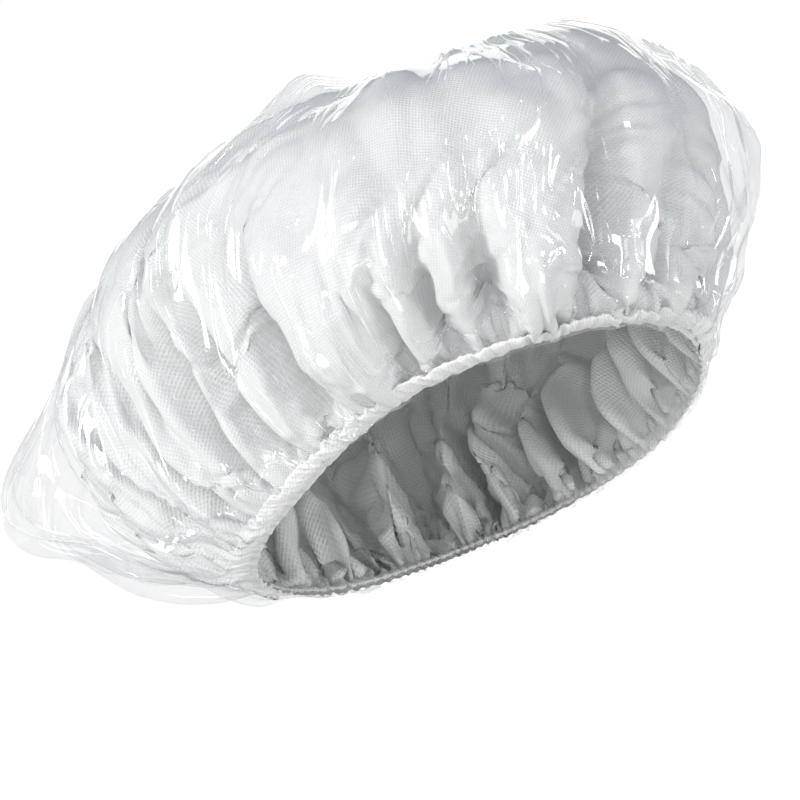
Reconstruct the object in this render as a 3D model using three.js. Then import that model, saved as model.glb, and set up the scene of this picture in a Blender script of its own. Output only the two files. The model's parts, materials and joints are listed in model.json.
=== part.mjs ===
import * as THREE from 'three';
import { mergeVertices } from 'three/addons/utils/BufferGeometryUtils.js';

// A thermal hair cap as it is worn, tilted back: a clear film crown over a white nonwoven lining,
// both gathered into an elastic casing round the head opening.
// Millimetres, +Z up. The wearer faces -Y and +X is the wearer's left.
// The origin is the middle of the head opening. Angles are in degrees round it:
// 0 is the forehead, 90 the wearer's right ear, 180 the nape and 270 the left ear.

// Wall and casing sizes
const WALL = 1.4;
const CASING_HEIGHT = 6.6;
const CASING_THICKNESS = 5;
const CASING_INSET = 1.8;
const CASING_SIDES = 6;
const FILM_EDGE = 7.4;
const LINING_EDGE = 10;

// Gathers: narrow pleats that the elastic pulls into the hem, at their deepest on the casing
const GATHERS = 36;
const GATHER_DEPTH = 1.6;
const GATHER_REACH = 1.3;
const CASING_GATHERS = 60;
const CASING_RIPPLE = 0.5;

// How finely the solids are cut
const COLUMNS = 108;
const FILM_ROWS = 12;
const LINING_ROWS = 10;
const CASING_STEPS = 180;
// Over 1, the rows of a crown lie closer near the hem, where the pleats are
const ROW_CROWDING = 1.3;

// Each level of a crown is a ring round its own centre, given by that centre's Y
const LEVEL_CENTRES = [8, 18, 42, 42, 32];
const APEX_LEVEL = LEVEL_CENTRES.length;

// A row for each direction from the front round to the left: the radius and height of each level
// angle, hem r, hem z, lip r, lip z, bulge r, bulge z, shoulder r, shoulder z, top r, top z
const FILM = {
  edge: FILM_EDGE,
  foldShare: 0.75,
  apex: new THREE.Vector3(0, 22, 132),
  rows: [
    [0, 95, 59, 122, 66, 150, 95, 131, 141, 70, 155],
    [45, 84, 39, 105, 41, 138, 81, 113, 131, 66, 141],
    [90, 76, -6, 96, -10, 118, 46, 114, 84, 62, 127],
    [135, 77, -40, 114, -46, 143, -22, 107, 62, 73, 98],
    [180, 80, -54, 106, -56, 154, -30, 110, 36, 80, 94],
    [225, 76, -36, 103, -40, 140, -8, 104, 48, 68, 98],
    [270, 77, -4, 82, 4, 112, 41, 102, 79, 60, 112],
    [315, 84, 34, 93, 46, 122, 89, 111, 119, 75, 151],
  ],
};
const LINING = {
  edge: LINING_EDGE,
  foldShare: 1,
  apex: new THREE.Vector3(0, 22, 128),
  rows: [
    [0, 93, 59, 116, 70, 138, 99, 126, 139, 68, 152],
    [45, 82, 39, 100, 46, 128, 83, 107, 127, 64, 137],
    [90, 74, -6, 88, -2, 109, 48, 108, 82, 60, 123],
    [135, 75, -40, 98, -36, 131, 2, 101, 64, 70, 94],
    [180, 78, -54, 100, -48, 130, -18, 103, 40, 76, 90],
    [225, 74, -36, 97, -32, 122, 0, 97, 50, 65, 94],
    [270, 75, -4, 79, 10, 100, 43, 95, 77, 57, 108],
    [315, 82, 34, 87, 51, 106, 90, 98, 115, 71, 147],
  ],
};

// Deep folds, from a foot near the hem to a head up on the crown
// foot angle, head angle, foot level, head level, depth, half width in degrees
const FOLDS = [
  [15, 2, 0.2, 4.0, 10, 4],
  [4, 346, 0.3, 3.5, 7, 4],
  [29, 28, 0.2, 2.6, 9, 4],
  [37, 38, 0.1, 2.2, 9, 3],
  [46, 44, 0.1, 1.9, 8, 3],
  [60, 72, 0.3, 3.0, 10, 5],
  [74, 84, 0.3, 3.0, 9, 4],
  [87, 88, 0.4, 2.4, 9, 4],
  [99, 104, 0.4, 2.5, 9, 4],
  [112, 120, 0.3, 3.1, 10, 5],
  [127, 132, 0.3, 2.3, 9, 4],
  [143, 138, 0.3, 2.9, 11, 5],
  [158, 156, 0.3, 2.2, 9, 4],
  [172, 176, 0.3, 3.1, 11, 5],
  [188, 183, 0.3, 2.3, 9, 4],
  [203, 208, 0.3, 2.9, 10, 5],
  [218, 224, 0.3, 2.4, 9, 4],
  [232, 238, 0.3, 3.1, 10, 5],
  [248, 246, 0.3, 2.4, 8, 4],
  [262, 258, 0.3, 3.0, 8, 5],
  [276, 282, 0.4, 2.6, 8, 4],
  [290, 288, 0.4, 3.2, 8, 4],
  [305, 300, 0.4, 2.6, 8, 4],
  [320, 318, 0.3, 3.3, 9, 5],
  [334, 330, 0.3, 2.6, 8, 4],
  [350, 338, 0.3, 2.4, 7, 3],
];
// Under 1, a fold is deepest nearer its foot than its head
const FOLD_LEAN = 0.7;

// Corners where the stiff film stands out from the lining
// angle, level, height, half width in degrees, half height in levels
const FILM_PEAKS = [
  [133, 1.95, 22, 11, 0.4],
  [72, 3.85, 8, 10, 0.4],
  [215, 2.0, 12, 14, 0.5],
  [318, 2.6, 4, 12, 0.5],
];

const FULL_TURN = 360;
const HALF_TURN = 180;
const radians = THREE.MathUtils.degToRad;
const between = THREE.MathUtils.lerp;

// Short steps that a surface's direction is measured over, in levels and in degrees
const LEVEL_STEP = 0.02;
const ANGLE_STEP = 1;

/** One column of a crown's table at any angle, a smooth closed curve through the rows. */
function around(crown, column, angle) {
  const rows = crown.rows;
  const place = THREE.MathUtils.euclideanModulo(angle, FULL_TURN) / FULL_TURN * rows.length;
  const first = Math.floor(place);
  const value = (step) => rows[(first + step + rows.length) % rows.length][column];
  const [a, b, c, d] = [value(-1), value(0), value(1), value(2)];
  const f = place - first;
  return 0.5 * (2 * b + (c - a) * f + (2 * a - 5 * b + 4 * c - d) * f ** 2 + (3 * b - a - 3 * c + d) * f ** 3);
}

/** The point of a crown on one of its rings. */
function ringPoint(crown, level, angle) {
  const radius = around(crown, 1 + 2 * level, angle);
  const height = around(crown, 2 + 2 * level, angle);
  const turn = radians(angle);
  return new THREE.Vector3(-radius * Math.sin(turn), LEVEL_CENTRES[level] - radius * Math.cos(turn), height);
}

/** The line from the hem up over the apex, and on to the top ring of the other side. */
function meridian(crown, angle) {
  const points = LEVEL_CENTRES.map((centre, level) => ringPoint(crown, level, angle));
  points.push(crown.apex, ringPoint(crown, APEX_LEVEL - 1, angle + HALF_TURN));
  return new THREE.CatmullRomCurve3(points);
}

/** A point of a crown before it is folded, its level counted in rings up from the hem. */
function smoothPoint(crown, angle, level) {
  return meridian(crown, angle).getPoint(level / (APEX_LEVEL + 1));
}

/** The direction out of a crown before it is folded, from short steps along it. */
function outward(crown, angle, level) {
  const height = Math.min(level, APEX_LEVEL - LEVEL_STEP);
  const up = smoothPoint(crown, angle, height + LEVEL_STEP);
  up.sub(smoothPoint(crown, angle, Math.max(height - LEVEL_STEP, 0)));
  const sideways = smoothPoint(crown, angle + ANGLE_STEP, height);
  sideways.sub(smoothPoint(crown, angle - ANGLE_STEP, height));
  return up.cross(sideways).normalize();
}

/** A bump that is 1 at the middle and fades out with distance, counted in half widths. */
const bump = (distance) => Math.exp(-(distance ** 2));

/** The angle from one direction to another, the short way round. */
const turnBetween = (from, to) => THREE.MathUtils.euclideanModulo(to - from + HALF_TURN, FULL_TURN) - HALF_TURN;

/** How far the folds draw a crown in. */
function foldDepth(angle, level) {
  let depth = 0;
  for (const [foot, head, footLevel, headLevel, deepest, halfWidth] of FOLDS) {
    const along = (level - footLevel) / (headLevel - footLevel);
    if (along <= 0 || along >= 1) continue;
    const middle = foot + turnBetween(foot, head) * along;
    const fade = Math.sin(Math.PI * along ** FOLD_LEAN);
    depth += deepest * fade * bump(turnBetween(middle, angle) / halfWidth);
  }
  return depth;
}

/** How far the gathers push a crown in and out near the hem. */
function gatherHeight(angle, level) {
  const fade = Math.max(0, 1 - level / GATHER_REACH);
  return GATHER_DEPTH * fade * Math.cos(radians(angle * GATHERS));
}

/** How far the corners of the film stand out. */
function peakHeight(angle, level) {
  let height = 0;
  for (const [middle, middleLevel, tallest, halfWidth, halfHeight] of FILM_PEAKS) {
    height += tallest * bump(turnBetween(middle, angle) / halfWidth) * bump((level - middleLevel) / halfHeight);
  }
  return height;
}

/** How far a crown stands out from its smooth form. */
function standsOut(crown, angle, level) {
  const peaks = crown === FILM ? peakHeight(angle, level) : 0;
  return gatherHeight(angle, level) + peaks - crown.foldShare * foldDepth(angle, level);
}

/** The level that lies a given distance in from the hem's edge. */
function levelFromHem(crown, angle, distance) {
  return distance / ringPoint(crown, 0, angle).distanceTo(ringPoint(crown, 1, angle));
}

/** A lathe bent into a new shape: place() says where each station of its profile goes at each angle. */
function bentLathe(profile, steps, place) {
  const lathe = new THREE.LatheGeometry(profile, steps);
  const positions = lathe.attributes.position;
  for (let i = 0; i < positions.count; i += 1) {
    const column = Math.floor(i / profile.length) % steps;
    const angle = FULL_TURN - FULL_TURN * column / steps;
    const spot = place(angle, i % profile.length);
    positions.setXYZ(i, spot.x, spot.y, spot.z);
  }
  lathe.deleteAttribute('normal');
  lathe.deleteAttribute('uv');
  return mergeVertices(lathe);
}

/** A crown as a closed wall: down the inside from the apex, round the edge and up the outside. */
function crownWall(crown, rows) {
  const profile = [];
  for (let row = rows; row >= 0; row -= 1) profile.push(new THREE.Vector2(rows - row, row));
  for (let row = 0; row <= rows; row += 1) profile.push(new THREE.Vector2(rows - row, row));
  return bentLathe(profile, COLUMNS, (angle, station) => {
    const inside = station <= rows;
    const row = inside ? rows - station : station - rows - 1;
    const depth = inside ? WALL : 0;
    if (row === rows) return crown.apex.clone().setZ(crown.apex.z - depth);
    const level = between(levelFromHem(crown, angle, crown.edge), APEX_LEVEL, (row / rows) ** ROW_CROWDING);
    const height = standsOut(crown, angle, level) - depth;
    return smoothPoint(crown, angle, level).addScaledVector(outward(crown, angle, level), height);
  });
}

/** The casing: a soft ring whose section is an oval that lies along the foot of the crown. */
function casing() {
  const profile = [];
  for (let side = 0; side <= CASING_SIDES; side += 1) {
    const turn = radians(FULL_TURN * side / CASING_SIDES);
    profile.push(new THREE.Vector2(CASING_THICKNESS + Math.cos(turn), Math.sin(turn)));
  }
  return bentLathe(profile, CASING_STEPS, (angle, station) => {
    const middle = levelFromHem(FILM, angle, CASING_HEIGHT / 2);
    const out = outward(FILM, angle, middle);
    const up = smoothPoint(FILM, angle, 2 * middle).sub(smoothPoint(FILM, angle, 0)).normalize();
    const ripple = CASING_RIPPLE * Math.cos(radians(angle * CASING_GATHERS));
    const turn = radians(FULL_TURN * (station % CASING_SIDES) / CASING_SIDES);
    return smoothPoint(FILM, angle, middle)
      .addScaledVector(out, -CASING_INSET + (CASING_THICKNESS / 2 + ripple) * Math.cos(turn))
      .addScaledVector(up, (CASING_HEIGHT / 2 - CASING_RIPPLE + ripple) * Math.sin(turn));
  });
}

const clearFilm = new THREE.MeshStandardMaterial({
  color: 0xe6e9ec,
  roughness: 0.08,
  metalness: 0,
  transparent: true,
  opacity: 0.3,
  side: THREE.DoubleSide,
});
const whiteNonwoven = new THREE.MeshStandardMaterial({ color: 0xeef0f1, roughness: 0.85, metalness: 0 });
const casingFabric = new THREE.MeshStandardMaterial({ color: 0xf3f2ee, roughness: 0.9, metalness: 0 });

function piece(name, geometry, material) {
  geometry.computeVertexNormals();
  const mesh = new THREE.Mesh(geometry, material);
  mesh.name = name;
  return mesh;
}

const cap = new THREE.Group();
cap.add(piece('film_crown', crownWall(FILM, FILM_ROWS), clearFilm));
cap.add(piece('lining_crown', crownWall(LINING, LINING_ROWS), whiteNonwoven));
cap.add(piece('gathered_hem', casing(), casingFabric));

export default cap;
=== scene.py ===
# %% [markdown]
# # A thermal hair cap
# The real thing is two round sheets with one elastic round both of their edges. The inner sheet is a
# soft white nonwoven with an embossed dot pattern. The outer one is a clear plastic film that crumples.
# Elastic gathers both into a white casing, so a flat disc turns into a bag full of pleats.
# This script follows the same order: flat discs first, then the shape that they take when worn with its
# pleats and creases, and the finishes and the light last.

# %% Load the frame and the tools
import json
import time

import bmesh
import bpy
import numpy as np
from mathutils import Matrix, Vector
from mathutils.bvhtree import BVHTree

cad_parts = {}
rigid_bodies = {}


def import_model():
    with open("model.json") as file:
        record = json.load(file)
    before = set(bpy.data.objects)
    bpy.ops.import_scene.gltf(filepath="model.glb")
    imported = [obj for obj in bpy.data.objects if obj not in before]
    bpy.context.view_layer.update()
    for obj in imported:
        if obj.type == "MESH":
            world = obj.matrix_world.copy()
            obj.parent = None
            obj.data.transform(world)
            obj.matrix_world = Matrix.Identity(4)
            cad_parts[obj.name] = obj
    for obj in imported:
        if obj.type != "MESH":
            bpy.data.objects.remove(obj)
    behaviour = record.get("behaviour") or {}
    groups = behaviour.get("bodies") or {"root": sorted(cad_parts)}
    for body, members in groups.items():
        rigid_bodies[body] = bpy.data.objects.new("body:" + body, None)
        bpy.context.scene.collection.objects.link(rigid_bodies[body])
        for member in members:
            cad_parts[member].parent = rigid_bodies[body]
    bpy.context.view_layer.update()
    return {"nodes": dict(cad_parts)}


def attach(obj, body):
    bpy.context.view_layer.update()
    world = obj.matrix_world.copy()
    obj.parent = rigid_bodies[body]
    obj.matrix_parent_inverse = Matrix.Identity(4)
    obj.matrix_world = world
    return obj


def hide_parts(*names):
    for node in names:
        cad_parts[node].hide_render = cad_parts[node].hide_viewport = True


started = time.time()
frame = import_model()
MM = 0.001
print("nodes in the frame:", sorted(frame["nodes"]))

# %% [markdown]
# ## The camera
# A scene is easier to judge once the camera stands where the real one stood, so it comes first. The cap
# is seen from its right front, a little from above, through a long lens. The place of the camera and the
# point it looks at are both given in the part's own frame, where the origin is the middle of the head
# opening, +Z is up and the front of the cap is toward -Y.

# %% Camera
camera_data = bpy.data.cameras.new("camera")
camera = bpy.data.objects.new("camera", camera_data)
bpy.context.scene.collection.objects.link(camera)
bpy.context.scene.camera = camera
aim = Vector((-17.6, 24.2, 25.4)) * MM
camera.location = Vector((-657, -864, 140)) * MM
camera.rotation_euler = (aim - camera.location).to_track_quat("-Z", "Y").to_euler()
camera_data.lens = 139.4
camera_data.sensor_width = 36
print("camera stands", round((aim - camera.location).length, 3), "m from what it looks at")

# %% [markdown]
# ## The shape of each crown
# The bag isn't a sphere, so its shape is written down as a short table of rings. Each ring has its own
# middle, and a row for each of eight directions gives its radius and height there: the hem, the lip that
# rolls out over it, the fullest part, the shoulder and the top. Direction 0 is the front, 90 the right
# as the cap is worn, 180 the back and 270 the left. All sizes are millimetres on the real cap. A sculpted
# mesh would do as well, but a table keeps the film and the lining a known distance apart.

# %% Rings of the film and of the lining
# angle, hem r, hem z, lip r, lip z, bulge r, bulge z, shoulder r, shoulder z, top r, top z
FILM = np.array([
    [0, 95, 59, 122, 66, 150, 95, 131, 141, 70, 155],
    [45, 84, 39, 105, 41, 138, 81, 113, 131, 66, 141],
    [90, 76, -6, 96, -10, 118, 46, 114, 84, 62, 127],
    [135, 77, -40, 114, -46, 143, -22, 107, 62, 73, 98],
    [180, 80, -54, 106, -56, 154, -30, 110, 36, 80, 94],
    [225, 76, -36, 103, -40, 140, -8, 104, 48, 68, 98],
    [270, 77, -4, 82, 4, 112, 41, 102, 79, 60, 112],
    [315, 84, 34, 93, 46, 122, 89, 111, 119, 75, 151],
], float)
LINING = np.array([
    [0, 93, 59, 116, 70, 138, 99, 126, 139, 68, 152],
    [45, 82, 39, 100, 46, 128, 83, 107, 127, 64, 137],
    [90, 74, -6, 88, -2, 109, 48, 108, 82, 60, 123],
    [135, 75, -40, 98, -36, 131, 2, 101, 64, 70, 94],
    [180, 78, -54, 100, -48, 130, -18, 103, 40, 76, 90],
    [225, 74, -36, 97, -32, 122, 0, 97, 50, 65, 94],
    [270, 75, -4, 79, 10, 100, 43, 95, 77, 57, 108],
    [315, 82, 34, 87, 51, 106, 90, 98, 115, 71, 147],
], float)
RING_MIDDLES = np.array([8, 18, 42, 42, 32], float)
FILM_APEX = np.array([0, 22, 132], float)
LINING_APEX = np.array([0, 22, 128], float)
TOP = len(RING_MIDDLES)
print("levels from the hem to the apex:", TOP)

# %% [markdown]
# ## From the table to a smooth surface
# Two kinds of curve run through the table's points. A closed curve round the cap gives each ring, and a
# curve up the cap joins the rings at one angle and carries on over the apex, so that the top has no
# point. Both are Catmull-Rom curves, which pass through every point that they are given.

# %% A ring at any angle
def around(crown, column, angle):
    """One column of a crown's table at any angle, a smooth closed curve through its rows."""
    count = len(crown)
    place = (angle % 360) / 360 * count
    first = np.floor(place).astype(int)
    f = place - first
    a, b, c, d = (crown[(first + step) % count, column] for step in (-1, 0, 1, 2))
    return 0.5 * (2 * b + (c - a) * f + (2 * a - 5 * b + 4 * c - d) * f**2 + (3 * b - a - 3 * c + d) * f**3)


def ring_point(crown, level, angle):
    """The point of a crown on one of its rings."""
    radius = around(crown, 1 + 2 * level, angle)
    height = around(crown, 2 + 2 * level, angle)
    turn = np.radians(angle)
    return np.stack([-radius * np.sin(turn), RING_MIDDLES[level] - radius * np.cos(turn), height], -1)


print("film at the back, in mm:", ring_point(FILM, 2, np.array([180.0])).round(1))

# %% A point anywhere on a crown
def spline(before, start, end, after, f):
    """A curve from start to end whose speed follows the spacing of its four points."""
    gaps = [
        np.maximum(((q - p) ** 2).sum(-1, keepdims=True) ** 0.25, 1e-4)
        for p, q in ((before, start), (start, end), (end, after))
    ]
    leave = (start - before) / gaps[0] - (end - before) / (gaps[0] + gaps[1]) + (end - start) / gaps[1]
    arrive = (end - start) / gaps[1] - (after - start) / (gaps[1] + gaps[2]) + (after - end) / gaps[2]
    leave, arrive = leave * gaps[1], arrive * gaps[1]
    bend = 3 * (end - start) - 2 * leave - arrive
    return start + leave * f + bend * f**2 + (2 * (start - end) + leave + arrive) * f**3


def smooth_point(crown, apex, angle, level):
    """A point of a crown before it is folded, its level counted in rings up from the hem."""
    rings = [ring_point(crown, k, angle) for k in range(TOP)]
    rings.append(np.broadcast_to(apex, rings[0].shape))
    rings.append(ring_point(crown, TOP - 1, angle + 180))
    rings.insert(0, 2 * rings[0] - rings[1])
    place = np.zeros_like(rings[0])
    for k in range(TOP):
        here = (np.minimum(level.astype(int), TOP - 1) == k)[:, None]
        curve = spline(*rings[k:k + 4], (level - k)[:, None])
        place = np.where(here, curve, place)
    return place


# how far the short steps along a crown reach, in levels
SHORT_STEP = 0.02


def outward(crown, apex, angle, level):
    """The direction out of a crown, from short steps along it."""
    height = np.minimum(level, TOP - SHORT_STEP)
    up = smooth_point(crown, apex, angle, height + SHORT_STEP)
    up = up - smooth_point(crown, apex, angle, np.maximum(height - SHORT_STEP, 0))
    sideways = smooth_point(crown, apex, angle + 1, height) - smooth_point(crown, apex, angle - 1, height)
    normal = np.cross(up, sideways)
    return normal / np.linalg.norm(normal, axis=1, keepdims=True)


print("the way out at the front hem:", outward(FILM, FILM_APEX, np.array([0.0]), np.array([0.0])).round(2))

# %% [markdown]
# ## Where the pleats and folds run
# The elastic takes up nearly three quarters of the sheet's edge, and the spare cloth has to go somewhere.
# Right at the hem it stands in small pleats. Higher up, small pleats join into fewer and bigger ones, and
# a few become deep folds that reach the top. So the pleats are a few waves laid over each other: the
# finest fades out first and the widest last. Each deep fold has a row of its own. Those at the front and
# on the right follow the real cap, and the rest are guessed in the same manner.

# %% Deep folds and corners
# foot angle, head angle, foot level, head level, depth, half width in degrees
FOLDS = [
    [15, 2, 0.2, 4.0, 10, 4],
    [4, 346, 0.3, 3.5, 7, 4],
    [29, 28, 0.2, 2.6, 9, 4],
    [37, 38, 0.1, 2.2, 9, 3],
    [46, 44, 0.1, 1.9, 8, 3],
    [60, 72, 0.3, 3.0, 10, 5],
    [74, 84, 0.3, 3.0, 9, 4],
    [87, 88, 0.4, 2.4, 9, 4],
    [99, 104, 0.4, 2.5, 9, 4],
    [112, 120, 0.3, 3.1, 10, 5],
    [127, 132, 0.3, 2.3, 9, 4],
    [143, 138, 0.3, 2.9, 11, 5],
    [158, 156, 0.3, 2.2, 9, 4],
    [172, 176, 0.3, 3.1, 11, 5],
    [188, 183, 0.3, 2.3, 9, 4],
    [203, 208, 0.3, 2.9, 10, 5],
    [218, 224, 0.3, 2.4, 9, 4],
    [232, 238, 0.3, 3.1, 10, 5],
    [248, 246, 0.3, 2.4, 8, 4],
    [262, 258, 0.3, 3.0, 8, 5],
    [276, 282, 0.4, 2.6, 8, 4],
    [290, 288, 0.4, 3.2, 8, 4],
    [305, 300, 0.4, 2.6, 8, 4],
    [320, 318, 0.3, 3.3, 9, 5],
    [334, 330, 0.3, 2.6, 8, 4],
    [350, 338, 0.3, 2.4, 7, 3],
]
# angle, level, height, half width in degrees, half height in levels
FILM_PEAKS = [
    [133, 1.95, 15, 11, 0.4],
    [72, 3.85, 8, 10, 0.4],
    [215, 2.0, 12, 14, 0.5],
    [318, 2.6, 4, 12, 0.5],
]

# under 1, so that a fold is deepest below the middle of its length
FOLD_LEAN = 0.7


def turn_between(start, end):
    """The angle from one direction to another, the short way round."""
    return (end - start + 180) % 360 - 180


def fold_depth(angle, level, width=1.0):
    """How far the deep folds draw a crown in. A width under 1 makes them narrower."""
    depth = np.zeros_like(angle)
    for foot, head, foot_level, head_level, deepest, half_width in FOLDS:
        along = np.clip((level - foot_level) / (head_level - foot_level), 0, 1)
        middle = foot + turn_between(foot, head) * along
        fade = np.sin(np.pi * along**FOLD_LEAN)
        depth += deepest * fade * np.exp(-((turn_between(middle, angle) / half_width / width) ** 2))
    return depth


def peak_height(angle, level):
    """How far the corners of the film stand out."""
    height = np.zeros_like(angle)
    for middle, middle_level, tallest, half_width, half_height in FILM_PEAKS:
        sideways = turn_between(middle, angle) / half_width
        height += tallest * np.exp(-(sideways**2) - ((level - middle_level) / half_height) ** 2)
    return height


print("deep folds:", len(FOLDS), "corners:", len(FILM_PEAKS))

# %% Pleats that join as they rise
# how many round the cap, height in mm, reach up from the hem in mm
PLEATS = [
    [236, 0.7, 9],
    [118, 2.2, 38],
    [70, 2.8, 55],
    [41, 3.2, 90],
]
PLEAT_SEED = 5
# how far round the pleats wander, and how much more for each mm up from the hem
PLEAT_WANDER = 6
PLEAT_DRIFT = 0.02
# how high up the casing holds the sheets flat, in mm, and the share of the pleats left at the very edge
HELD_FLAT = 9
LEFT_AT_EDGE = 0.15
# the most that a wave may start late by, a whole turn in radians
LATEST = 6.28


def wander(angle, seed, waves=9):
    """A smooth wobble round the cap that keeps repeats from being even, from about -1 to 1."""
    chance = np.random.default_rng(seed)
    turn = np.radians(angle)
    total = np.zeros_like(angle)
    for k in range(1, waves + 1):
        total += chance.normal() * np.sin(k * turn + chance.uniform(0, LATEST)) / k**0.5
    return total / 2


def pleats(angle, distance, finest=0, only=4, sharp_tops=False):
    """Pleats up from the hem, by rows of the table. Cloth has round tops and film has sharp ones."""
    height = np.zeros_like(angle)
    for index, (count, tall, reach) in enumerate(PLEATS):
        if index < finest or index >= only:
            continue
        seed = PLEAT_SEED + index
        bend = PLEAT_WANDER * wander(angle, seed) + PLEAT_DRIFT * distance * wander(angle, seed + 20, 30)
        phase = np.radians(angle) * count / 2 + bend
        uneven = 0.75 + 0.5 * wander(angle, seed + 40, 40)
        if sharp_tops:
            ridge = 1.05 - 1.6 * np.sqrt(np.cos(phase) ** 2 + 0.004)
        else:
            ridge = 1.6 * np.sqrt(np.sin(phase) ** 2 + 0.02) - 1.05
        height += tall * uneven * ridge * np.exp(-((distance / reach) ** 2))
    return height


def share_past(distance, start, length):
    """0 up to a start above the hem and 1 from a length further on, all in mm."""
    return np.clip((distance - start) / length, 0, 1)


def held_flat(distance):
    """A share of the pleats' height: small where the casing holds a sheet flat, and 1 above it."""
    return LEFT_AT_EDGE + (1 - LEFT_AT_EDGE) * share_past(distance, 0, HELD_FLAT) ** 1.5


print("pleats at the hem:", PLEATS[0][0])

# %% [markdown]
# ## The flat discs
# Each sheet starts as a flat disc. Spinning a line of vertices would make one, but that is slow for
# hundreds of spokes. A flat grid is quicker: its width goes once round the disc, its two sides meet there
# as a seam, and its last row closes into the middle. The rows lie closer near the edge, where the gathers
# are. The place of each vertex on this disc is kept as its UV, so that an embossed pattern lies on the
# cloth and folds with it. The disc has a round size, a little smaller than the cloth that is really cut,
# so the pattern comes out 8% wider on the cloth than its number says.

# %% Helpers that read and move vertices
def vectors_of(items, label):
    """A vector of each of a mesh's items, as rows of x, y and z."""
    values = np.zeros(len(items) * 3)
    items.foreach_get(label, values)
    return values.reshape(-1, 3)


def vertex_places(mesh):
    """The places of a mesh's vertices."""
    return vectors_of(mesh.vertices, "co")


def move_vertices(piece, places):
    """Moves a piece's vertices to new places, given in millimetres."""
    piece.data.vertices.foreach_set("co", (places * MM).ravel())
    piece.data.update()


def rolled_grid(name, columns, rows, place):
    """A grid bent into a closed form. place() takes its u and v, each 0 to 1, and gives points in mm."""
    bm = bmesh.new()
    bmesh.ops.create_grid(bm, x_segments=columns, y_segments=rows, size=1)
    mesh = bpy.data.meshes.new(name)
    bm.to_mesh(mesh)
    square = vertex_places(mesh)
    mesh.vertices.foreach_set("co", (place((square[:, 0] + 1) / 2, (square[:, 1] + 1) / 2) * MM).ravel())
    bm.clear()
    bm.from_mesh(mesh)
    bmesh.ops.remove_doubles(bm, verts=bm.verts, dist=1e-6)
    bmesh.ops.recalc_face_normals(bm, faces=bm.faces)
    bm.to_mesh(mesh)
    bm.free()
    mesh.shade_smooth()
    piece = bpy.data.objects.new(name, mesh)
    bpy.context.scene.collection.objects.link(piece)
    return piece


def surface_directions(piece):
    """The direction out of a piece at each of its vertices."""
    return vectors_of(piece.data.vertex_normals, "vector")


# %% A flat disc with its pattern coordinates
CROWDING = 1.25
FLAT_RADIUS = 250
# columns round the disc and rows in to its middle
FILM_MESH = (800, 120)
LINING_MESH = (640, 152)


def disc_place(u, v):
    """A grid's place on the flat disc: u goes round it and v in to the middle."""
    radius = FLAT_RADIUS * (1 - v**CROWDING)
    turn = 2 * np.pi * u
    return np.stack([radius * np.cos(turn), radius * np.sin(turn), 0 * u], -1)


def keep_flat_places(mesh):
    """Keeps where each corner lies on the flat disc as its UV."""
    corners = np.zeros(len(mesh.loops), int)
    mesh.loops.foreach_get("vertex_index", corners)
    layer = mesh.uv_layers.new(name="flat")
    layer.uv.foreach_set("vector", vertex_places(mesh)[corners, :2].ravel().astype(np.float32))


def flat_disc(name, columns, rows):
    """A sheet lying flat."""
    piece = rolled_grid(name, columns, rows, disc_place)
    keep_flat_places(piece.data)
    return piece


def face_outwards(piece, out):
    """Turns a piece's faces round if they look in. out holds a direction out for each vertex."""
    if np.sum(surface_directions(piece) * out) < 0:
        piece.data.flip_normals()
        print("faces turned outwards:", piece.name)


film = flat_disc("film_sheet", *FILM_MESH)
lining = flat_disc("lining_sheet", *LINING_MESH)
print("film vertices:", len(film.data.vertices), "lining vertices:", len(lining.data.vertices))

# %% [markdown]
# ## How high on the crown each vertex ends
# A disc's vertex keeps its angle, and its distance from the edge becomes a distance up the crown. The
# levels aren't evenly far apart, so their mean lengths up the cap are measured first.

# %% From the flat disc to angle and level
LENGTH_TURNS = 72
LENGTH_STEPS = 100


def lengths_up(crown, apex):
    """How far it is up a crown from the hem, for evenly spaced angles and levels, in mm."""
    turns = np.arange(LENGTH_TURNS) * 360 / LENGTH_TURNS
    fine = np.linspace(0, TOP, LENGTH_STEPS + 1)
    line = np.stack([smooth_point(crown, apex, turns, np.full_like(turns, x)) for x in fine], 1)
    steps = np.linalg.norm(np.diff(line, axis=1), axis=2)
    return np.concatenate([np.zeros((LENGTH_TURNS, 1)), np.cumsum(steps, 1)], 1)


mean_lengths = lengths_up(FILM, FILM_APEX).mean(0)


def flat_place(piece):
    """For each vertex of a disc: its angle, its level, its distance from the hem and its flat place."""
    flat = vertex_places(piece.data)[:, :2] / MM
    angle = np.degrees(np.arctan2(flat[:, 1], flat[:, 0])) % 360
    share = np.clip(1 - np.hypot(flat[:, 0], flat[:, 1]) / FLAT_RADIUS, 0, 1)
    distance = share * mean_lengths[-1]
    level = np.interp(distance, mean_lengths, np.linspace(0, TOP, LENGTH_STEPS + 1))
    return angle, level, distance, flat


print("film from hem to apex:", round(mean_lengths[-1]), "mm")

# %% [markdown]
# ## Creases
# Cloth and film differ most in how they crease. Nonwoven makes soft lumps, and a few waves laid over each
# other give those. Film folds along sharp lines that run for centimetres and stays smooth between them.
# Where soft noise passes through zero it draws just such long lines, so its plain size, with the sign
# dropped, makes a height with a crease along each of them. Near the hem the lines follow the pleats up,
# and on top, where nothing gathers the film, they run any way.

# %% Soft lumps and long creases
# the cap's radius where it is fullest, in mm
BULGE_RADIUS = 125
# how many waves lie over each other, and the lengths they may have against the size asked for
LUMP_WAVES = 14
STREAK_WAVES = 18
WAVE_LENGTHS = (1.4, 3.2)


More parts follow.
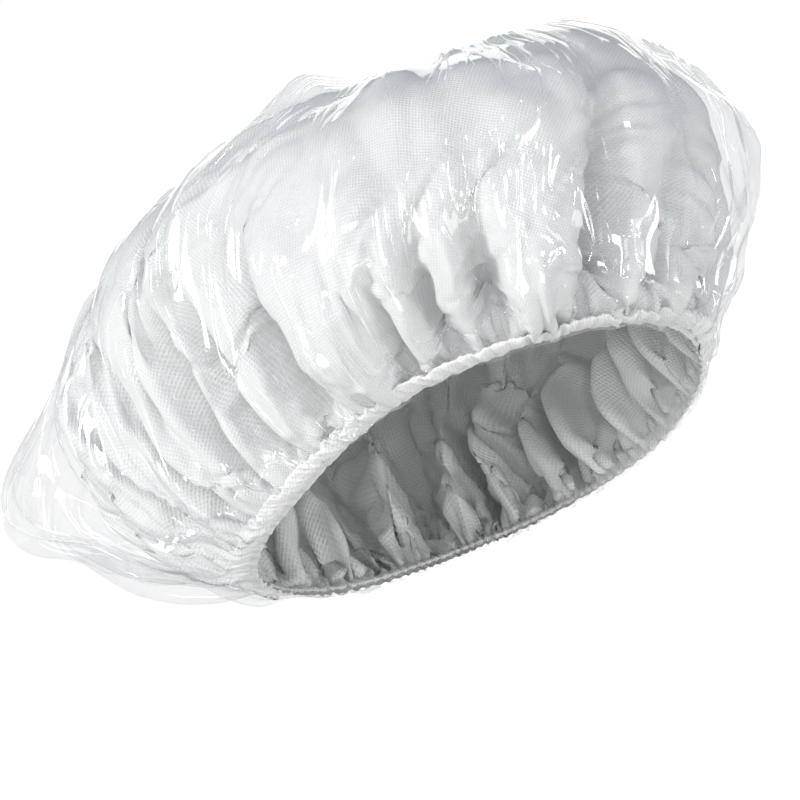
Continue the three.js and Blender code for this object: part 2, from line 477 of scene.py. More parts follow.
def lumps(flat, size, seed):
    """Soft noise on the flat disc, from about -1 to 1, with bumps of the given size in mm."""
    chance = np.random.default_rng(seed)
    total = np.zeros(len(flat))
    for _ in range(LUMP_WAVES):
        heading = chance.uniform(0, 2 * np.pi)
        wave = 2 * np.pi / (size * chance.uniform(*WAVE_LENGTHS))
        along = flat[:, 0] * np.cos(heading) + flat[:, 1] * np.sin(heading)
        total += np.sin(wave * along + chance.uniform(0, LATEST))
    return total / 4


def streaks(angle, distance, size, stretch, seed):
    """Soft noise drawn out up the cap, from about -1 to 1, with streaks of the given width in mm."""
    chance = np.random.default_rng(seed)
    turn = np.radians(angle)
    total = np.zeros(len(angle))
    for _ in range(STREAK_WAVES):
        heading = chance.uniform(0, 2 * np.pi)
        wave = 2 * np.pi / (size * chance.uniform(*WAVE_LENGTHS))
        repeats = round(BULGE_RADIUS * wave * np.cos(heading))
        up_cap = wave / stretch * np.sin(heading) * distance
        total += np.sin(repeats * turn + up_cap + chance.uniform(0, LATEST))
    return total / 4


def crease(noise, blunt=0.06):
    """A height with a sharp ridge where the noise is zero, about 0 on average."""
    return 0.45 - np.sqrt(noise**2 + blunt**2)


print("fullest radius:", BULGE_RADIUS, "mm")

# %% [markdown]
# ## Gathering the sheets
# The pleats could all be drawn by hand, but real ones come from the cut: the flat disc's edge is far
# longer than the head opening, and the spare length has to buckle. So the lining is laid out flat, and
# Blender's Cloth pulls it onto the crown. The hem is held there firmly and the rest is only drawn towards
# its place, so that the sheet finds its own pleats round the deep folds. Its length up the cap stays as
# it is, which leaves the width alone to gather. A disc with half the rows and columns is enough for that
# and is much quicker. Only the lining is made so: film pulled in like this folds through itself.

# %% The flat cut of a crown
def flat_cut(crown, apex, angle, level, flat):
    """Where each vertex lies on the flat sheet if no length up the cap changes, in mm."""
    table = lengths_up(crown, apex)
    turn = angle / 360 * LENGTH_TURNS
    row = np.floor(turn).astype(int)
    f = turn - row
    step = np.clip(level / TOP * LENGTH_STEPS, 0, LENGTH_STEPS - 1e-6)
    column = np.floor(step).astype(int)
    g = step - column

    def length(r, c):
        return table[r % LENGTH_TURNS, c]

    here = (1 - g) * length(row, column) + g * length(row, column + 1)
    beside = (1 - g) * length(row + 1, column) + g * length(row + 1, column + 1)
    whole = (1 - f) * length(row, -1) + f * length(row + 1, -1)
    from_middle = whole - (1 - f) * here - f * beside
    turn = np.radians(angle)
    return np.stack([from_middle * np.cos(turn), from_middle * np.sin(turn), 2 * lumps(flat, 20, 9)], -1)


# %% Pull a flat sheet onto its crown
GATHER_FRAMES = 12
TRAVEL_FRAMES = 5
# how high up the hem is held fast, and over what length above that the hold loosens, in mm
HELD_HEM = 8
LOOSENING = 50
# the hold just above the held hem, how much of it is lost higher up, and how uneven it is
HOLD = 0.8
HOLD_LOST = 0.45
HOLD_UNEVEN = 0.1


def hold_vertices(piece, hold):
    """A vertex group with each vertex's own hold, in steps of a twentieth."""
    group = piece.vertex_groups.new(name="hold")
    steps = np.round(hold * 20) / 20
    for value in np.unique(steps):
        group.add([int(i) for i in np.nonzero(steps == value)[0]], float(value), "REPLACE")
    return group.name


def gather(piece, cut, worn, hold, stiffness, bending):
    """Simulates a sheet from its flat cut to its worn place. Returns where its vertices end, in mm."""
    move_vertices(piece, cut)
    piece.shape_key_add(name="cut")
    place = piece.shape_key_add(name="worn")
    place.data.foreach_set("co", (worn * MM).ravel().astype(np.float32))
    for value, frame_number in ((0, 1), (1, 1 + TRAVEL_FRAMES)):
        place.value = value
        place.keyframe_insert("value", frame=frame_number)
    cloth = piece.modifiers.new("cloth", "CLOTH")
    settings = cloth.settings
    settings.quality = 5
    settings.mass = 0.02
    settings.tension_stiffness = stiffness
    settings.compression_stiffness = stiffness
    settings.shear_stiffness = stiffness / 2
    settings.bending_stiffness = bending
    settings.air_damping = 3
    settings.vertex_group_mass = hold_vertices(piece, hold)
    settings.pin_stiffness = 1
    settings.effector_weights.gravity = 0
    cloth.point_cache.frame_start = 1
    cloth.point_cache.frame_end = GATHER_FRAMES
    for frame_number in range(1, GATHER_FRAMES + 1):
        bpy.context.scene.frame_set(frame_number)
    depsgraph = bpy.context.evaluated_depsgraph_get()
    gathered = vertex_places(piece.evaluated_get(depsgraph).data) / MM
    piece.modifiers.remove(cloth)
    piece.shape_key_clear()
    piece.vertex_groups.clear()
    bpy.context.scene.frame_set(1)
    return gathered


print("frames to gather the lining in:", GATHER_FRAMES)

# %% Gather the lining on a coarse disc
# a narrower fold inside each deep fold, against the fold's own depth and width
INNER_DEPTH = 0.8
INNER_WIDTH = 0.6
columns, rows = (count // 2 for count in LINING_MESH)
coarse = flat_disc("coarse_lining", columns, rows)
angle, level, distance, flat = flat_place(coarse)
lining_out = outward(LINING, LINING_APEX, angle, level)
lining_height = held_flat(distance) * pleats(angle, distance, finest=1) - fold_depth(angle, level)
lining_height -= INNER_DEPTH * fold_depth(angle, level, width=INNER_WIDTH)
lining_places = smooth_point(LINING, LINING_APEX, angle, level) + lining_out * lining_height[:, None]
cut = flat_cut(LINING, LINING_APEX, angle, level, flat)
loose = share_past(distance, HELD_HEM, LOOSENING)
drawn = HOLD - HOLD_LOST * loose + HOLD_UNEVEN * lumps(flat, 30, 31)
hold = np.clip(np.where(distance < HELD_HEM, 1, drawn), 0.1, 1)
lining_places = gather(coarse, cut, lining_places, hold, stiffness=10, bending=5.0)
print("lining gathered", round(time.time() - started, 1), "s")

# %% [markdown]
# ## From a coarse sheet to a fine one
# Soft cloth has small wrinkles on its big ones, and a coarse mesh can't hold them. Subdivision would add
# rows and columns, but it is slow where hundreds of edges meet at the top. The disc's vertices are a plain
# net of rows and columns, so the points between are worked out on smooth curves instead. The wrinkles,
# the valleys between the pleats and the finest pleats are then moved into the finer net. Near the top the
# cloth is drawn back to the plain crown, because the gathers would bunch there.

# %% Carry the gathers over to the finer disc
# how far the gathered lining is puffed back out, in mm
LINING_PUFF = 3.5
# how much deeper each deep fold gets, and the finer valley in it, against the fold's own depth and width
DEEPER = 0.4
VALLEY_DEPTH = 1.6
VALLEY_WIDTH = 0.5
# wrinkle height in mm, size in mm, seed
LINING_WRINKLES = [
    [0.8, 16, 3],
    [0.3, 7, 4],
]
# valley spacing in mm, stretch up the cap, depth in mm, seed
LINING_CREASES = [
    [20, 4.0, 3.2, 41],
    [10, 4.5, 1.0, 42],
]


def row_and_column(flat, columns, rows):
    """Which row and column of its disc each vertex is at."""
    column = np.round(np.degrees(np.arctan2(flat[:, 1], flat[:, 0])) % 360 / 360 * columns).astype(int)
    share = np.clip(1 - np.hypot(flat[:, 0], flat[:, 1]) / FLAT_RADIUS, 0, 1)
    return np.round(share ** (1 / CROWDING) * rows).astype(int), column % columns


def twice_as_fine(net):
    """A net of points with its rows and columns doubled, on smooth curves. The columns close round."""
    wide = np.repeat(net, 2, axis=1)
    wide[:, 1::2] = 9 * (net + np.roll(net, -1, 1)) - np.roll(net, 1, 1) - np.roll(net, -2, 1)
    wide[:, 1::2] /= 16
    ends = np.concatenate([2 * wide[:1] - wide[1:2], wide, 2 * wide[-1:] - wide[-2:-1]])
    tall = np.repeat(wide, 2, axis=0)[:-1]
    tall[1::2] = (9 * (wide[:-1] + wide[1:]) - ends[:-3] - ends[3:]) / 16
    return tall


net = np.zeros((rows + 1, columns, 3))
net[row_and_column(flat, columns, rows)] = lining_places
net[rows] = net[rows].sum(axis=0)
fine_net = twice_as_fine(net)
bpy.data.objects.remove(coarse)
angle, level, distance, flat = flat_place(lining)
near_apex = share_past(distance, 160, 80)[:, None]
plain_places = smooth_point(LINING, LINING_APEX, angle, level)
lining_places = (1 - near_apex) * fine_net[row_and_column(flat, *LINING_MESH)] + near_apex * plain_places
move_vertices(lining, lining_places)
face_outwards(lining, outward(LINING, LINING_APEX, angle, level))
off_hem = share_past(distance, 6, 40)
rumple = off_hem * sum(tall * lumps(flat, size, seed) for tall, size, seed in LINING_WRINKLES)
rumple += held_flat(distance) * pleats(angle, distance, only=2)
lining_places += surface_directions(lining) * rumple[:, None]
on_top = share_past(distance, 110, 80)
rise = LINING_PUFF - DEEPER * fold_depth(angle, level)
rise = rise - VALLEY_DEPTH * fold_depth(angle, level, width=VALLEY_WIDTH)
for spacing, stretch, tall, seed in LINING_CREASES:
    valley = crease(streaks(angle, distance, spacing, stretch, seed), blunt=0.15)
    rise -= (1 - 0.8 * on_top) * tall * valley
lining_places += outward(LINING, LINING_APEX, angle, level) * (off_hem * rise)[:, None]
move_vertices(lining, lining_places)
print("lining vertices:", len(lining.data.vertices), round(time.time() - started, 1), "s")

# %% [markdown]
# ## The film over the lining
# The film is a stiff bag that lies on the lining where the lining is high and spans its hollows. It is
# given as a height over its own plain crown: pleats, corners and long creases, and under them the lining,
# found by rays cast in from outside. A soft maximum of the two lays the film over the lining without a
# sharp line where they part. A simulation would be truer, but film this crisp tore and folded over.

# %% How high the lining stands under the film
def net_of(values, flat, columns, rows):
    """Values at the vertices of a disc as a net, a row for each ring of the disc."""
    net = np.zeros((rows + 1, columns))
    row, column = row_and_column(flat, columns, rows)
    net[row, column] = values
    net[rows] = net[rows].sum()
    return net


def soften(net, times):
    """Evens out a net. Its columns close round."""
    for _ in range(times):
        net = (np.roll(net, 1, 1) + 2 * net + np.roll(net, -1, 1)) / 4
        padded = np.concatenate([net[:1], net, net[-1:]])
        net = (padded[:-2] + 2 * net + padded[2:]) / 4
    return net


def highest_near(net, times):
    """Spreads the high parts of a net a few places each way."""
    for _ in range(times):
        net = np.maximum(net, np.maximum(np.roll(net, 1, 1), np.roll(net, -1, 1)))
        padded = np.concatenate([net[:1], net, net[-1:]])
        net = np.maximum(net, np.maximum(padded[:-2], padded[2:]))
    return net


def tree_of(piece):
    """A search tree over a piece's faces."""
    mesh = bmesh.new()
    mesh.from_mesh(piece.data)
    tree = BVHTree.FromBMesh(mesh)
    mesh.free()
    return tree


def height_under(tree, places, out, reach=40):
    """How far what is in the tree rises from the given places, along the directions out, in mm."""
    heights = np.full(len(places), -reach / 2)
    for i, (place, direction) in enumerate(zip(places, out)):
        start = Vector(place + direction * reach) * MM
        spot, _, _, far = tree.ray_cast(start, Vector(-direction), 1.5 * reach * MM)
        if spot is not None:
            heights[i] = reach - far / MM
    return heights


# the most that the lining may lift the film, in mm, and how far its high parts spread and are evened out
MOST_LIFT = 4
SPREAD_STEPS = 2
EVEN_STEPS = 5
lining_tree = tree_of(lining)
angle, level, distance, flat = flat_place(film)
film_smooth = smooth_point(FILM, FILM_APEX, angle, level)
film_out = outward(FILM, FILM_APEX, angle, level)
under = net_of(height_under(lining_tree, film_smooth, film_out), flat, *FILM_MESH)
under = soften(highest_near(np.minimum(under, MOST_LIFT), SPREAD_STEPS), EVEN_STEPS)
under = under[row_and_column(flat, *FILM_MESH)]
for low_level in range(TOP):
    band = under[(level >= low_level) & (level < low_level + 1)]
    print("lining below the smooth film, level", low_level, np.percentile(band, [5, 50, 95]).round(1))

# %% Shape the film
# how far the film stays off the lining, in mm
FILM_GAP = 0.8
# crease spacing in mm, stretch up the cap, height in mm, seed
FILM_CREASES = [
    [40, 3.0, 6.0, 21],
    [22, 3.5, 3.4, 22],
    [12, 4.5, 1.5, 23],
]
# how much of the pleats and of the deep folds the film follows
FILM_PLEATS = 0.6
FILM_FOLDS = 0.75
off_hem = share_past(distance, 0, 12)
on_top = share_past(distance, 120, 80)
film_height = FILM_PLEATS * held_flat(distance) * pleats(angle, distance, finest=1, sharp_tops=True)
film_height += peak_height(angle, level) - FILM_FOLDS * fold_depth(angle, level)
for spacing, stretch, tall, seed in FILM_CREASES:
    up_the_cap = crease(streaks(angle, distance, spacing, stretch, seed))
    any_way = crease(lumps(flat, spacing * 1.5, seed + 10))
    film_height += off_hem * tall * ((1 - on_top) * up_the_cap + (0.35 + 0.65 * on_top) * any_way)
film_height = np.logaddexp(film_height, under + FILM_GAP)
move_vertices(film, film_smooth + film_out * film_height[:, None])
face_outwards(film, film_out)
print("film folds from", round(film_height.min(), 1), "to", round(film_height.max(), 1), "mm")
print("film shaped", round(time.time() - started, 1), "s")

# %% [markdown]
# ## The casing round the head opening
# The casing is a narrow tube of the same nonwoven, sewn over both sheets with the elastic inside. Its
# section is an oval. Spinning one round the head opening would do, but a grid rolled up both ways is
# quicker for so many columns. The finest pleats are in it, with an uneven lower edge, as elastic leaves
# them, and it leans in and out with the lining's pleats just above it.

# %% Casing
CASING_HEIGHT = 8.5
CASING_THICKNESS = 2.4
CASING_INSET = 1.5
CASING_COLUMNS = 2000
CASING_SIDES = 14
# the level on the crown of the casing's middle, and of the lining just above it
CASING_LEVEL = 0.12
ABOVE_LEVEL = 0.17
# how far the casing goes along with the lining, and the most that counts, in mm
LEAN = 0.6
MOST_LEAN = 2
# how high the finest and the wider pleats stand in it, against those of the sheets
FINE_RIPPLE = 1.3
WIDE_RIPPLE = 0.7
# how uneven its lower edge is, in mm, and how much the pleats pull that edge up
EDGE_UNEVEN = 0.6
EDGE_PULL = 0.25
# the radius of the plain ring before it is bent, in units of half its section
RING_RADIUS = 10


def ring_place(u, v):
    """A grid's place on a plain ring: u goes round the ring and v round its section."""
    turn, section = 2 * np.pi * u, 2 * np.pi * v
    radius = RING_RADIUS + np.cos(section)
    return np.stack([radius * np.cos(turn), radius * np.sin(turn), np.sin(section)], -1)


casing = rolled_grid("hem_casing", CASING_COLUMNS, CASING_SIDES, ring_place)
ring = vertex_places(casing.data) / MM
ring_angle = np.degrees(np.arctan2(ring[:, 1], ring[:, 0])) % 360
across = np.hypot(ring[:, 0], ring[:, 1]) - RING_RADIUS
upward = ring[:, 2]
low = smooth_point(FILM, FILM_APEX, ring_angle, np.zeros_like(ring_angle))
middle_level = np.full_like(ring_angle, CASING_LEVEL)
middle = smooth_point(FILM, FILM_APEX, ring_angle, middle_level)
along = middle - low
along /= np.linalg.norm(along, axis=1, keepdims=True)
casing_out = outward(FILM, FILM_APEX, ring_angle, middle_level)
at_hem = np.full_like(ring_angle, 1.0)
ripple = FINE_RIPPLE * pleats(ring_angle, at_hem, only=1)
ripple = ripple + WIDE_RIPPLE * pleats(ring_angle, at_hem, finest=1, only=2)
# the casing follows the pleats of the lining just above it
even_angle = np.arange(0, 360, 0.5)
even_level = np.full_like(even_angle, ABOVE_LEVEL)
even_out = outward(FILM, FILM_APEX, even_angle, even_level)
even_start = smooth_point(FILM, FILM_APEX, even_angle, even_level)
lining_wave = height_under(lining_tree, even_start, even_out, reach=12)
lining_wave = np.interp(ring_angle, even_angle, lining_wave - np.median(lining_wave), period=360)
edge_wave = EDGE_UNEVEN * wander(ring_angle, 77, 160) - EDGE_PULL * ripple
centre_up = CASING_HEIGHT / 2 + edge_wave * (upward < 0)
lean = LEAN * np.clip(lining_wave, -MOST_LEAN, MOST_LEAN) * (0.5 + upward / 2)
half_thickness = CASING_THICKNESS / 2 + (0.5 + 0.15 * upward) * ripple
casing_places = (
    low
    + along * (centre_up + CASING_HEIGHT / 2 * upward)[:, None]
    + casing_out * (-CASING_INSET + lean)[:, None]
    + casing_out * (half_thickness * across)[:, None]
)
move_vertices(casing, casing_places)
print("casing has", len(casing.data.polygons), "faces", round(time.time() - started, 1), "s")

# %% [markdown]
# ## Shared shader effects
# Nonwoven cloth is a mat of fibres that a roller has pressed together at thousands of small dots. The
# dots and the fibres are each a node group with its sizes as inputs, so that the lining and the casing
# can both use them. The film's fine creases are a third group, which keeps its material short. A group
# here puts out only masks and heights, and the shader stays in the material.

# %% Helpers for node trees
def new_group(name, inputs, outputs):
    """A shader node group with float or vector inputs and float outputs, and its two end nodes."""
    group = bpy.data.node_groups.new(name, "ShaderNodeTree")
    for label, kind, value in inputs:
        socket = group.interface.new_socket(label, in_out="INPUT", socket_type=kind)
        if value is not None:
            socket.default_value = value
    for label in outputs:
        group.interface.new_socket(label, in_out="OUTPUT", socket_type="NodeSocketFloat")
    return group, group.nodes.new("NodeGroupInput"), group.nodes.new("NodeGroupOutput")


def give(tree, node, values):
    """Gives a node's inputs their values, each a plain value or another node's output to link from."""
    for label, value in values.items():
        if isinstance(value, bpy.types.NodeSocket):
            tree.links.new(value, node.inputs[label])
        elif value is not None:
            node.inputs[label].default_value = value


def math_node(tree, operation, first, second=None, clamp=False):
    """One step of arithmetic, each side a socket or a number."""
    node = tree.nodes.new("ShaderNodeMath")
    node.operation = operation
    node.use_clamp = clamp
    give(tree, node, {0: first, 1: second})
    return node.outputs[0]


def vector_node(tree, operation, first, second=None):
    """One step of vector arithmetic, each side a socket or three numbers."""
    node = tree.nodes.new("ShaderNodeVectorMath")
    node.operation = operation
    give(tree, node, {0: first, 1: second})
    return node.outputs["Value"] if operation == "LENGTH" else node.outputs["Vector"]


def noise_node(tree, vector, scale, detail):
    """Soft noise from 0 to 1. More detail adds finer noise on top."""
    node = tree.nodes.new("ShaderNodeTexNoise")
    give(tree, node, {"Vector": vector, "Scale": scale, "Detail": detail})
    return node.outputs["Fac"]


def eased(tree, value, from_min, from_max, to_min, to_max):
    """A value carried smoothly from one range to another."""
    node = tree.nodes.new("ShaderNodeMapRange")
    node.interpolation_type = "SMOOTHSTEP"
    give(tree, node, {"Value": value, "From Min": from_min, "From Max": from_max})
    give(tree, node, {"To Min": to_min, "To Max": to_max})
    return node.outputs["Result"]


def mixed(tree, share, first, second):
    """One shader where the share is 0 and another where it is 1."""
    node = tree.nodes.new("ShaderNodeMixShader")
    give(tree, node, {0: share, 1: first, 2: second})
    return node.outputs["Shader"]


# %% Embossed dots
dots_group, dots_in, dots_out = new_group(
    "embossed_dots",
    [("Vector", "NodeSocketVector", None), ("Dots per metre", "NodeSocketFloat", 700.0)],
    ["Dot"],
)


def dot_lattice(tree, vector, offset):
    """The distance from the middle of the nearest cell of a square lattice, in cells."""
    moved = vector_node(tree, "ADD", vector, (offset, offset, 0))
    cell = vector_node(tree, "FRACTION", moved)
    centred = vector_node(tree, "SUBTRACT", cell, (0.5, 0.5, 0))
    level_plane = vector_node(tree, "MULTIPLY", centred, (1, 1, 0))
    return vector_node(tree, "LENGTH", level_plane)


scaled = dots_group.nodes.new("ShaderNodeVectorMath")
scaled.operation = "SCALE"
give(dots_group, scaled, {0: dots_in.outputs["Vector"], "Scale": dots_in.outputs["Dots per metre"]})
nearest_dot = math_node(
    dots_group, "MINIMUM",
    dot_lattice(dots_group, scaled.outputs[0], 0.0),
    dot_lattice(dots_group, scaled.outputs[0], 0.5),
)
give(dots_group, dots_out, {"Dot": eased(dots_group, nearest_dot, 0.16, 0.34, 1.0, 0.0)})
print("group:", dots_group.name)

# %% Fibre mat
fibre_group, fibre_in, fibre_out = new_group(
    "fibre_mat",
    [("Vector", "NodeSocketVector", None), ("Fibres per metre", "NodeSocketFloat", 900.0)],
    ["Fibre", "Cloud"],
)
fibre_place = fibre_in.outputs["Vector"]
fibre_scale = fibre_in.outputs["Fibres per metre"]
cloud_scale = math_node(fibre_group, "MULTIPLY", fibre_scale, 0.12)
for label, scale in (("Fibre", fibre_scale), ("Cloud", cloud_scale)):
    give(fibre_group, fibre_out, {label: noise_node(fibre_group, fibre_place, scale, 2.0)})
print("group:", fibre_group.name)

# %% Crinkles
crinkle_group, crinkle_in, crinkle_out = new_group(
    "crinkles",
    [("Vector", "NodeSocketVector", None), ("Creases per metre", "NodeSocketFloat", 90.0)],
    ["Height", "Crease"],
)


def crease_lines(tree, vector, scale):
    """How far soft noise is from its middle, which is zero along thin lines."""
    centred = math_node(tree, "SUBTRACT", noise_node(tree, vector, scale, 0.0), 0.5)
    return math_node(tree, "ABSOLUTE", centred)


# the flat disc is wrapped round a cylinder, so that creases run up the cap all the way round it
CYLINDER_RADIUS = BULGE_RADIUS * MM
# the size of the creases round the cap, over their length up it
STRETCH = 0.17
tree = crinkle_group
creases = crinkle_in.outputs["Creases per metre"]
on_circle = vector_node(tree, "NORMALIZE", crinkle_in.outputs["Vector"])
round_cap = vector_node(tree, "MULTIPLY", on_circle, (CYLINDER_RADIUS,) * 3)
from_middle = vector_node(tree, "LENGTH", crinkle_in.outputs["Vector"])
up_cap = math_node(tree, "MULTIPLY", from_middle, STRETCH)
rise = tree.nodes.new("ShaderNodeCombineXYZ")
give(tree, rise, {"Z": up_cap})
wrapped = vector_node(tree, "ADD", round_cap, rise.outputs["Vector"])
wide = crease_lines(tree, wrapped, creases)
narrow_scale = math_node(tree, "MULTIPLY", creases, 2.6)
narrow = crease_lines(tree, wrapped, narrow_scale)
narrow_part = math_node(tree, "MULTIPLY", narrow, 0.4)
both = math_node(tree, "ADD", wide, narrow_part)
needle = eased(tree, narrow, 0.0, 0.035, 0.05, 0.0)
long_needle = eased(tree, wide, 0.0, 0.02, 0.08, 0.0)
needles = math_node(tree, "ADD", needle, long_needle)
folded = math_node(tree, "SUBTRACT", both, needles)
patch_scale = math_node(tree, "MULTIPLY", creases, 0.7)
patch_noise = noise_node(tree, wrapped, patch_scale, 0.0)
patches = eased(tree, patch_noise, 0.47, 0.6, 0.0, 1.0)
other_patches = eased(tree, patch_noise, 0.4, 0.53, 1.0, 0.0)
wide_line = eased(tree, wide, 0.002, 0.011, 1.0, 0.0)
narrow_line = eased(tree, narrow, 0.003, 0.02, 1.0, 0.0)
some_wide = math_node(tree, "MULTIPLY", wide_line, other_patches)
some_narrow = math_node(tree, "MULTIPLY", narrow_line, patches)
lines = math_node(tree, "MAXIMUM", some_wide, some_narrow)
give(tree, crinkle_out, {"Height": folded, "Crease": lines})
print("group:", crinkle_group.name)

# %% [markdown]
# ## Finishes
# The nonwoven is matt white with a bump from the dots and fibres. The film lets most light straight
# through, and mirrors a little of it: more where it is seen edge on, and a touch more along its creases.
# So its shader is a mirror, and Alpha is the share of it that is seen. That is quicker than true glass,
# and a film this thin doesn't bend light anyway. Rays that look for a light meet a plain transparent
# shader instead, so that the film casts almost no shadow on the lining.

# %% Nonwoven
def new_material(name):
    """A material with an empty node tree, its Principled shader and its output."""
    material = bpy.data.materials.new(name)
    material.use_nodes = True
    tree = material.node_tree
    tree.nodes.clear()
    output = tree.nodes.new("ShaderNodeOutputMaterial")
    shader = tree.nodes.new("ShaderNodeBsdfPrincipled")
    return material, tree, shader, output


def use_group(tree, group, vector, size_label, size):
    """Places a node group, with its pattern's vector and size."""
    node = tree.nodes.new("ShaderNodeGroup")
    node.node_tree = group
    give(tree, node, {"Vector": vector, size_label: size})
    return node


def nonwoven(name, vector_kind, dots_per_metre, white, dot_shade):
    """White embossed nonwoven. vector_kind is UV for a sheet with its flat places, or Object."""
    material, tree, shader, output = new_material(name)
    place = tree.nodes.new("ShaderNodeTexCoord").outputs[vector_kind]
    dots = use_group(tree, dots_group, place, "Dots per metre", dots_per_metre)
    fibres = use_group(tree, fibre_group, place, "Fibres per metre", 1400.0)
    colour = tree.nodes.new("ShaderNodeMix")
    colour.data_type = "RGBA"
    faint = math_node(tree, "MULTIPLY", dots.outputs["Dot"], 0.6)
    cloudy = math_node(tree, "MULTIPLY", fibres.outputs["Cloud"], 0.35)
    shade = math_node(tree, "ADD", faint, cloudy, clamp=True)
    give(tree, colour, {0: shade, 6: (*white, 1), 7: (*dot_shade, 1)})
    raised = math_node(tree, "MULTIPLY", fibres.outputs["Fibre"], 0.5)
    relief = math_node(tree, "SUBTRACT", raised, dots.outputs["Dot"])
    bump = tree.nodes.new("ShaderNodeBump")
    give(tree, bump, {"Distance": 0.00025, "Strength": 0.8, "Height": relief})
    give(tree, shader, {"Base Color": colour.outputs[2], "Normal": bump.outputs["Normal"]})
    give(tree, shader, {"Roughness": 0.85, "Specular IOR Level": 0.25})
    give(tree, output, {"Surface": shader.outputs["BSDF"]})
    return material


lining_finish = nonwoven("white_nonwoven", "UV", 640.0, (0.88, 0.885, 0.875), (0.75, 0.77, 0.78))
casing_finish = nonwoven("casing_nonwoven", "Object", 640.0, (0.89, 0.89, 0.88), (0.78, 0.79, 0.80))
lining.data.materials.append(lining_finish)
casing.data.materials.append(casing_finish)
print("finishes:", lining_finish.name, casing_finish.name)

# %% Clear film
film_finish, tree, mirror, output = new_material("clear_film")
film_place = tree.nodes.new("ShaderNodeTexCoord").outputs["UV"]
crinkles = use_group(tree, crinkle_group, film_place, "Creases per metre", 60.0)
film_bump = tree.nodes.new("ShaderNodeBump")
film_bump.invert = True
give(tree, film_bump, {"Distance": 0.006, "Strength": 0.7, "Height": crinkles.outputs["Height"]})
frosted = math_node(tree, "MULTIPLY", crinkles.outputs["Crease"], 0.3)
gloss = math_node(tree, "ADD", frosted, 0.07)
edge_on = tree.nodes.new("ShaderNodeLayerWeight")
give(tree, edge_on, {"Blend": 0.5})
steep = math_node(tree, "POWER", edge_on.outputs["Facing"], 4.0)
rising = math_node(tree, "MULTIPLY", steep, 0.7)
stronger = math_node(tree, "ADD", rising, 0.12)
white_lines = math_node(tree, "MULTIPLY", crinkles.outputs["Crease"], 0.05)
seen_share = math_node(tree, "ADD", stronger, white_lines, clamp=True)
give(tree, mirror, {"Base Color": (0.97, 0.98, 1.0, 1), "Metallic": 1.0, "Roughness": gloss})
give(tree, mirror, {"Alpha": seen_share, "Normal": film_bump.outputs["Normal"]})
light_path = tree.nodes.new("ShaderNodeLightPath")
shadow_clear = tree.nodes.new("ShaderNodeBsdfTransparent")
give(tree, shadow_clear, {"Color": (0.9, 0.91, 0.92, 1)})
shadow_ray = light_path.outputs["Is Shadow Ray"]
by_ray = mixed(tree, shadow_ray, mirror.outputs["BSDF"], shadow_clear.outputs["BSDF"])
give(tree, output, {"Surface": by_ray})
film.data.materials.append(film_finish)
print("finish:", film_finish.name)

# %% [markdown]
# ## The sheets in place of the solids
# The imported solids are plain, so they are hidden and the sheets take their place, each fixed to the
# cap's one body. Neither sheet stretches, so the disc that each was cut from has as its radius the length
# of the worn film from its hem to the top, by the mean of all directions. The lining is cut with the
# film, so its disc is the same.

# %% Pieces and the frame
for piece, node, slot in (
    (film, "film_crown", "clear_film"),
    (lining, "lining_crown", "white_nonwoven"),
    (casing, "gathered_hem", "hem_casing"),
):
    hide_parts(node)
    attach(piece, "root")

# %% [markdown]
# ## Floor and light
# The cap is shown well above a pale floor. Three soft lights stand in front of it and one behind, and five
# small ones give the film its thin bright glints. A mirror shows only what is round it, so the air round
# the cap is a mid grey for reflections while the camera itself sees white.

# %% Floor
FLOOR_HEIGHT = -0.33
bm = bmesh.new()
bmesh.ops.create_grid(bm, x_segments=8, y_segments=8, size=60)
bmesh.ops.translate(bm, verts=bm.verts, vec=(0, 0, FLOOR_HEIGHT))
floor_mesh = bpy.data.meshes.new("floor")
bm.to_mesh(floor_mesh)
bm.free()
floor = bpy.data.objects.new("floor", floor_mesh)
bpy.context.scene.collection.objects.link(floor)
floor_finish, tree, paint, output = new_material("pale_floor")
give(tree, paint, {"Base Color": (0.05, 0.05, 0.05, 1), "Roughness": 0.9})
path = tree.nodes.new("ShaderNodeLightPath")
lit = math_node(tree, "MULTIPLY", path.outputs["Is Camera Ray"], 0.37)
glow = math_node(tree, "ADD", lit, 0.6)
give(tree, paint, {"Emission Color": (1, 1, 1, 1), "Emission Strength": glow})
give(tree, output, {"Surface": paint.outputs["BSDF"]})
floor.data.materials.append(floor_finish)
print("floor at", FLOOR_HEIGHT, "m")

# %% Air round the cap
world = bpy.data.worlds.new("air")
bpy.context.scene.world = world
world.use_nodes = True
tree = world.node_tree
tree.nodes.clear()


def background(red, green, blue, strength):
    """Light of one colour from all round."""
    node = tree.nodes.new("ShaderNodeBackground")
    give(tree, node, {"Color": (red, green, blue, 1), "Strength": strength})
    return node.outputs["Background"]


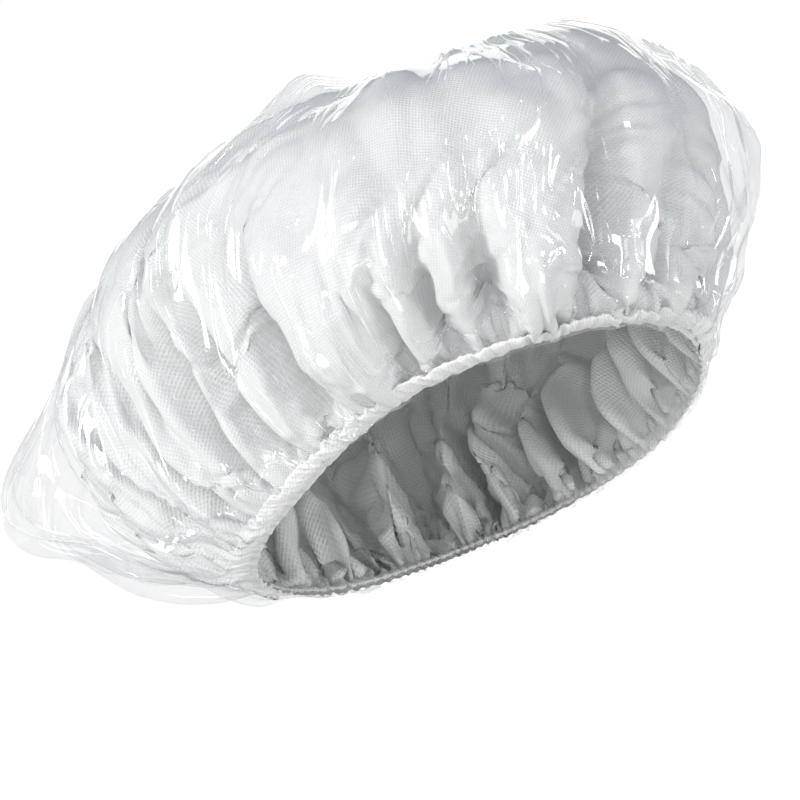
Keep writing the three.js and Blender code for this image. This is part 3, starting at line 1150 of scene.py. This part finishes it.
seen = background(1, 1, 1, 1.0)
felt = background(0.82, 0.90, 0.99, 0.41)
mirrored = background(0.90, 0.93, 0.97, 0.45)
path = tree.nodes.new("ShaderNodeLightPath")
not_seen = mixed(tree, path.outputs["Is Glossy Ray"], felt, mirrored)
output = tree.nodes.new("ShaderNodeOutputWorld")
give(tree, output, {"Surface": mixed(tree, path.outputs["Is Camera Ray"], not_seen, seen)})
bpy.context.scene.view_settings.view_transform = "Standard"
print("view transform:", bpy.context.scene.view_settings.view_transform)

# %% Lights
toward_camera = (camera.location - aim).normalized()
picture_right = toward_camera.cross(Vector((0, 0, 1))).normalized() * -1
# name, metres to the picture's right, up, and towards the camera, size across, size up, watts
LIGHTS = [
    ["key_left", -1.1, 0.05, 0.7, 0.4, 0.6, 10.0],
    ["fill_right", 1.0, 0.0, 0.8, 0.3, 0.5, 2.7],
    ["fill_low", 0.35, -0.2, 0.9, 0.3, 0.3, 0.5],
    ["glint_left", -0.5, 0.3, 1.1, 0.1, 0.1, 0.9],
    ["glint_right", 0.6, 0.2, 1.0, 0.1, 0.1, 0.9],
    ["glint_high", 0.0, 0.9, 0.8, 0.1, 0.1, 0.8],
    ["glint_low", -0.4, -0.25, 1.1, 0.1, 0.1, 0.8],
    ["soft_back", 0.0, 0.4, -1.4, 1.2, 1.2, 6.0],
    ["glint_front", 0.1, 0.1, 1.2, 0.1, 0.1, 1.2],
]
WARM = (1.0, 0.985, 0.955)
for name, right, high, near, wide_size, tall_size, watts in LIGHTS:
    light_data = bpy.data.lights.new(name, "AREA")
    light_data.shape = "RECTANGLE"
    light_data.size = wide_size
    light_data.size_y = tall_size
    light_data.energy = watts
    light_data.color = WARM
    light = bpy.data.objects.new(name, light_data)
    bpy.context.scene.collection.objects.link(light)
    light.location = aim + picture_right * right + Vector((0, 0, high)) + toward_camera * near
    light.rotation_euler = (aim - light.location).to_track_quat("-Z", "Y").to_euler()
lowest = min(item.location.z for item in bpy.data.objects if item.type == "LIGHT")
print("lights:", len(LIGHTS), "the lowest at z", round(lowest, 2), "m")
